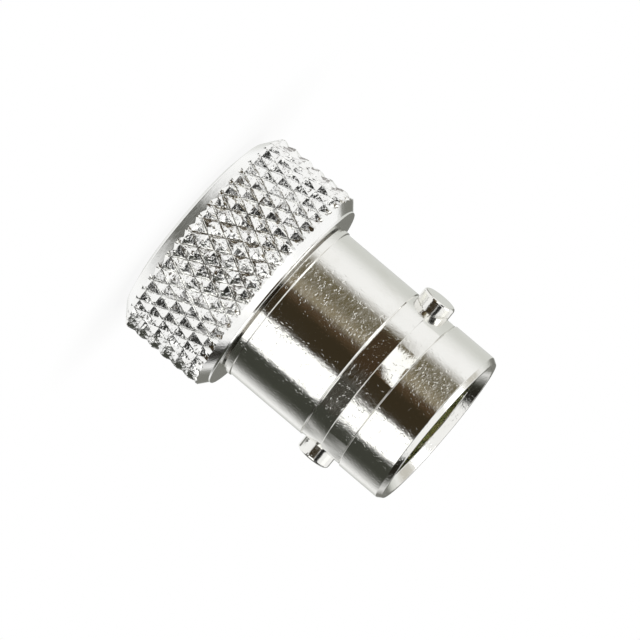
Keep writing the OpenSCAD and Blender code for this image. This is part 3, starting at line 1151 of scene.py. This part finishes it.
@dataclass
class Studio:
    """Surroundings, lamp, floor and camera; the lamp's sizes are in metres."""

    camera_azimuth: float = 12.0
    camera_elevation: float = 6.0
    roll: float = 130.3
    view_width: float = 33.9
    distance: float = 900.0
    aim: float = 8.69
    aside: float = -0.4
    sensor: float = 36.0
    floor_radius: float = 40.0
    floor_drop: float = 0.005
    floor_fade: tuple[float, float] = (5.0, 13.0)
    floor_white: float = 0.88
    lamp_width: float = 0.3
    lamp_power: float = 0.35
    lamp_place: tuple[float, float, float] = (-0.28, 0.5, 0.1)
    room: Colour = (1.0, 1.0, 0.98)
    panels: tuple[Panel, ...] = (
        Panel("grey rear", 180.0, 22.0, 6.0, 18.0, 12.0, 10.0, (0.52, 0.53, 0.5)),
        Panel("left rear", -146.0, 32.0, 0.0, 26.0, 22.0, 10.0, (0.68, 0.69, 0.66)),
        Panel("rear core", 180.0, 34.0, 14.0, 14.0, 12.0, 3.0, (0.2, 0.2, 0.18)),
        Panel("left low", -122.0, 27.0, -25.0, 9.0, 9.0, 5.0, (0.3, 0.285, 0.275)),
        Panel("far wall", -98.0, 20.0, 37.0, 7.0, 10.0, 4.0, (0.62, 0.6, 0.55)),
        Panel("low rear", 178.0, 22.0, -62.0, 12.0, 10.0, 8.0, (0.12, 0.12, 0.105)),
        Panel("zenith", 0.0, 200.0, 90.0, 18.0, 9.0, 6.0, (1.2, 1.2, 1.18)),
        Panel("dark front", 6.0, 26.0, -2.0, 21.5, 7.0, 3.0, (0.038, 0.028, 0.0145)),
        Panel("tan side", -42.0, 26.5, -11.0, 12.0, 11.0, 4.0, (0.135, 0.112, 0.061)),
        Panel("tan lift", -25.0, 9.0, -8.0, 9.0, 8.0, 4.0, (0.24, 0.2, 0.125)),
        Panel("brown edge", -12.0, 6.0, -6.0, 8.0, 6.0, 3.0, (0.075, 0.047, 0.024)),
        Panel("brown foot", -27.0, 33.0, -21.0, 7.0, 7.0, 2.5, (0.052, 0.033, 0.017)),
        Panel("upper sweep", -43.0, 26.0, 6.5, 9.3, 6.0, 2.0, (1.22, 1.22, 1.2)),
        Panel("high flag", -46.0, 25.0, 34.0, 14.0, 6.0, 4.0, (0.013, 0.013, 0.011)),
        Panel("right fall", 107.0, 24.0, 10.0, 38.0, 20.0, 6.0, (0.09, 0.092, 0.08)),
        Panel("right side", 92.0, 17.0, 10.0, 38.0, 6.0, 6.0, (0.05, 0.052, 0.042)),
        Panel("right shelf", 112.0, 36.0, 42.0, 8.0, 6.0, 5.0, (0.016, 0.014, 0.01)),
        Panel("under softbox", 54.0, 27.0, -19.0, 8.0, 4.0, 2.0, (0.05, 0.046, 0.036)),
        Panel("right softbox", 53.0, 21.5, 3.0, 16.0, 2.5, 1.5, (1.4, 1.4, 1.38)),
        Panel("right flag", 35.0, 38.0, 34.0, 12.0, 5.0, 4.0, (0.02, 0.02, 0.018)),
    )

    def axes(self) -> tuple[Vector, Vector, Vector]:
        """Gives the camera's upright right, up and backward directions.

        Returns:
            The three directions, before the camera is rolled.
        """
        a, e = math.radians(self.camera_azimuth), math.radians(self.camera_elevation)
        back = Vector((-math.sin(a) * math.cos(e), -math.cos(a) * math.cos(e), math.sin(e)))
        right = Vector((math.cos(a), -math.sin(a), 0.0))
        return right, back.cross(right), back

    def build_camera(self) -> None:
        """Sets the camera at the photograph's angle, rolled as it was held."""
        right, up, back = self.axes()
        turn = math.radians(self.roll)
        x = right * math.cos(turn) + up * math.sin(turn)
        y = up * math.cos(turn) - right * math.sin(turn)
        target = Vector((0, 0, self.aim * MM)) + right * self.aside * MM
        data = bpy.data.cameras.new("camera")
        data.sensor_width = self.sensor
        data.lens = self.sensor * self.distance / self.view_width
        data.clip_start = 0.01
        data.clip_end = 20.0
        camera = bpy.data.objects.new("camera", data)
        bpy.context.scene.collection.objects.link(camera)
        frame = Matrix((x, y, back)).transposed().to_4x4()
        camera.matrix_world = Matrix.Translation(target + back * self.distance * MM) @ frame
        bpy.context.scene.camera = camera

    def build_world(self) -> None:
        """Builds a pale room with bright and dark panels, which is plain white to the camera."""
        world = bpy.data.worlds.new("studio")
        bpy.context.scene.world = world
        world.use_nodes = True
        w = NodeWriter(world.node_tree)
        way = w.add("ShaderNodeTexCoord").outputs["Generated"]
        a = math.radians(self.camera_azimuth)
        ahead = w.vector("DOT_PRODUCT", way, (-math.sin(a), -math.cos(a), 0.0)).outputs["Value"]
        aside = w.vector("DOT_PRODUCT", way, (math.cos(a), -math.sin(a), 0.0)).outputs["Value"]
        azimuth = w.math("DEGREES", w.math("ARCTAN2", aside, ahead))
        elevation = w.math("DEGREES", w.math("ARCSINE", w.separate(way)[2]))
        rays = w.add("ShaderNodeLightPath").outputs
        mirrored = w.math("MAXIMUM", rays["Is Glossy Ray"], rays["Is Transmission Ray"])
        colour = w.blend(mirrored, (*self.room, 1.0), WHITE)
        for panel in self.panels:
            turned = w.math("WRAP", w.math("SUBTRACT", azimuth, panel.azimuth), 180.0, -180.0)
            off = w.math("ABSOLUTE", turned)
            rise = w.math("ABSOLUTE", w.math("SUBTRACT", elevation, panel.elevation))
            share = w.product(w.within(off, panel.half_width, panel.soft_across),
                              w.within(rise, panel.half_height, panel.soft_along))
            colour = w.blend(share, colour, (*panel.colour, 1.0))
            colour.node.label = panel.name
        shown = w.blend(rays["Is Camera Ray"], colour, WHITE)
        sky = w.add("ShaderNodeBackground", {0: shown, 1: 1.0})
        w.add("ShaderNodeOutputWorld", {0: sky.outputs[0]})

    def build_floor(self) -> None:
        """Builds the pale floor, which fades into the white round it."""
        bm = bmesh.new()
        bmesh.ops.create_circle(bm, cap_ends=True, radius=self.floor_radius * MM, segments=96)
        bmesh.ops.translate(bm, verts=bm.verts, vec=(0, 0, -self.floor_drop * MM))
        material = bpy.data.materials.new("pale_floor")
        material.use_nodes = True
        w = NodeWriter(material.node_tree)
        far = w.vector("LENGTH", w.object_place()).outputs["Value"]
        near, away = self.floor_fade
        rays = w.add("ShaderNodeLightPath").outputs
        white = w.product(w.ramp(far, near * MM, away * MM, self.floor_white, 1.0), rays["Is Camera Ray"])
        paint = w.add("ShaderNodeBsdfDiffuse", {0: (0.92, 0.92, 0.91, 1.0)})
        glow = w.add("ShaderNodeEmission", {0: WHITE, 1: 1.0})
        mixed = w.add("ShaderNodeMixShader", {0: white, 1: paint.outputs[0], 2: glow.outputs[0]})
        w.add("ShaderNodeOutputMaterial", {0: mixed.outputs[0]})
        floor = finish_mesh(bm, "floor", material, Shading.FACETED)
        floor.visible_glossy = False

    def build_lamp(self) -> None:
        """Hangs one large soft lamp over the left of the part."""
        data = bpy.data.lights.new("overhead", "AREA")
        data.shape = "DISK"
        data.size = self.lamp_width
        data.energy = self.lamp_power
        lamp = bpy.data.objects.new("overhead", data)
        right, _, back = self.axes()
        to_right, height, to_back = self.lamp_place
        lamp.location = Vector((0, 0, height)) + right * to_right + back * to_back
        lamp.rotation_euler = lamp.location.to_track_quat("Z", "Y").to_euler()
        bpy.context.scene.collection.objects.link(lamp)

    def build(self) -> None:
        """Builds the whole studio."""
        bpy.context.scene.view_settings.view_transform = "Standard"
        self.build_camera()
        self.build_world()
        self.build_floor()
        self.build_lamp()


def main() -> None:
    """Builds the part, dresses it and sets up the studio."""
    logging.basicConfig(level=logging.INFO, format="%(name)s %(message)s")
    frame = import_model()
    finishes = build_finishes()
    made = (
        (KnurledHead().build(finishes["head_nickel"]), "knurled_cap", "head_nickel"),
        (JackBarrel().build(finishes["barrel_nickel"]), "jack_body", "barrel_nickel"),
        (Dielectric().build(finishes["white_insulator"]), "front_insulator", "insulator"),
        (SocketContact().build(finishes["contact_gold"]), "centre_contact", "gold"),
    )
    for piece, node, slot in made:
        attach(piece, "root")
        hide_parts(node)
        LOG.info("%s: %d triangles", piece.name, sum(len(p.vertices) - 2 for p in piece.data.polygons))

    dressed = {
        "rear_insulator": "white_insulator",
        "retaining_ring": "bare_brass",
        "resistor_rod": "lacquered_film",
        "resistor_cap_front": "dull_tin",
        "resistor_cap_rear": "dull_tin",
        "ground_disc": "bare_brass",
    }
    for node, finish in dressed.items():
        for slot in frame["nodes"][node].material_slots:
            slot.material = finishes[finish]
        LOG.info("%s: dressed", node)

    Studio().build()


if __name__ == "__main__":
    main()
